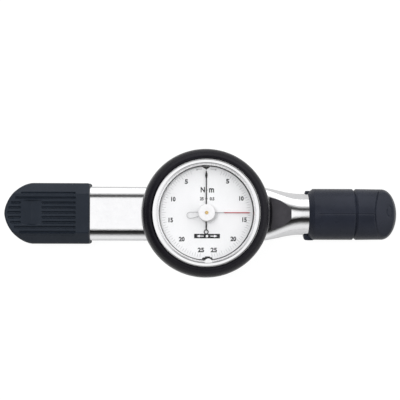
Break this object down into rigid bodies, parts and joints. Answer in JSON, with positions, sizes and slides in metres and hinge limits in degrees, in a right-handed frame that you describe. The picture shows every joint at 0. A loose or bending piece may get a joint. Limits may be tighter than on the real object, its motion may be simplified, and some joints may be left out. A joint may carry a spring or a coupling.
{
  "type": "torque wrench",
  "caption": "Beam-type torque wrench with a square drive, round dial gauge, memory pointer, chromed tube and moulded grip.",
  "frame": {"origin": "on the axis of the square drive, in the plane of the shoulder that a socket seats against", "axes": "+X along the wrench towards the grip, +Z from the drive towards the dial side, +Y completes the right-handed frame"},
  "size_m": [0.2287, 0.0732, 0.0636],
  "materials": {
    "cover_plastic": "fine satin",
    "grip_plastic": "fine satin",
    "chrome": "satin-bright plating",
    "guard_rubber": "semi-matte moulded",
    "wedge_plastic": "fine grain",
    "tool_steel": "turned and ground",
    "spring_steel": "hardened, polished",
    "black_steel": "black oxide",
    "bronze": "sintered",
    "brass": "lathe-turned",
    "black_paint": "satin black",
    "black_hand": "satin black",
    "red_hand": "satin red",
    "dial_white": "matte white",
    "knob_white": "satin white",
    "crystal": "clear polished"
  },
  "bodies": {
    "root": {"anvil_block": "tool_steel", "anvil_pins": "tool_steel", "anvil_screw": "black_steel", "arbor_bush": "bronze", "bezel_wire": "spring_steel", "bridge_posts": "brass", "bridge_screws": "tool_steel", "cover_screws": "black_steel", "dial_housing": "black_paint", "dial_saddle": "black_paint", "frame_tube": "chrome", "grip_end_cap": "grip_plastic", "grip_screws": "black_steel", "grip_sleeve": "grip_plastic", "hairspring_stud": "brass", "head_block": "tool_steel", "head_cover_lower": "cover_plastic", "head_cover_upper": "cover_plastic", "head_pins": "tool_steel", "housing_screws": "tool_steel", "lower_bush": "bronze", "measuring_beam": "spring_steel", "movement_bridge": "brass", "movement_pillars": "brass", "movement_plate": "brass", "neck_wedge": "wedge_plastic", "plate_screws": "tool_steel", "tube_plug": "tool_steel", "upper_bush": "bronze"},
    "drive_train": {"drive_shaft": "tool_steel", "shaft_retaining_ring": "spring_steel", "beam_dowels": "tool_steel", "transfer_arm": "brass", "sector_gear": "brass", "sector_rivets": "tool_steel", "detent_spring": "spring_steel"},
    "detent": {"detent_ball": "tool_steel"},
    "pointer_train": {"pointer_arbor": "tool_steel", "hairspring_collet": "brass", "hairspring": "spring_steel", "pointer": "black_hand", "pointer_hub": "black_hand"},
    "bezel_group": {"bezel": "chrome", "bezel_guard": "guard_rubber", "crystal": "crystal", "crystal_gasket": "guard_rubber", "dial_plate": "dial_white", "dial_retaining_ring": "spring_steel", "zero_mark": "black_hand", "rim_plate": "black_hand", "rim_button": "knob_white"},
    "peak_hand": {"peak_knob": "knob_white", "peak_spindle": "brass", "peak_pointer": "red_hand", "peak_washer": "guard_rubber"}
  },
  "joints": [
    {"name": "drive_twist", "type": "hinge", "parent": "root", "child": "drive_train", "pos_m": [0, 0, 0], "axis": [0, 0, 1], "range_deg": [-3.17, 3.17], "stiffness_Nm_per_rad": 453, "deforming": ["measuring_beam"]},
    {"name": "detent_press", "type": "slide", "parent": "drive_train", "child": "detent", "axis": [0, -1, 0], "range_m": [0, 0.0006], "stiffness_N_per_m": 1500, "springref_m": -0.0003, "deforming": ["detent_spring"]},
    {"name": "pointer_turn", "type": "hinge", "parent": "root", "child": "pointer_train", "pos_m": [0.0996, 0, 0], "axis": [0, 0, 1], "range_deg": [-172, 172], "deforming": ["hairspring"]},
    {"name": "bezel_turn", "type": "hinge", "parent": "root", "child": "bezel_group", "pos_m": [0.0996, 0, 0], "axis": [0, 0, 1], "continuous": true},
    {"name": "peak_turn", "type": "hinge", "parent": "bezel_group", "child": "peak_hand", "pos_m": [0.0996, 0, 0], "axis": [0, 0, 1], "continuous": true}
  ],
  "couplings": [
    {"joint": "pointer_turn", "follows": "drive_twist", "ratio": -54.333}
  ]
}
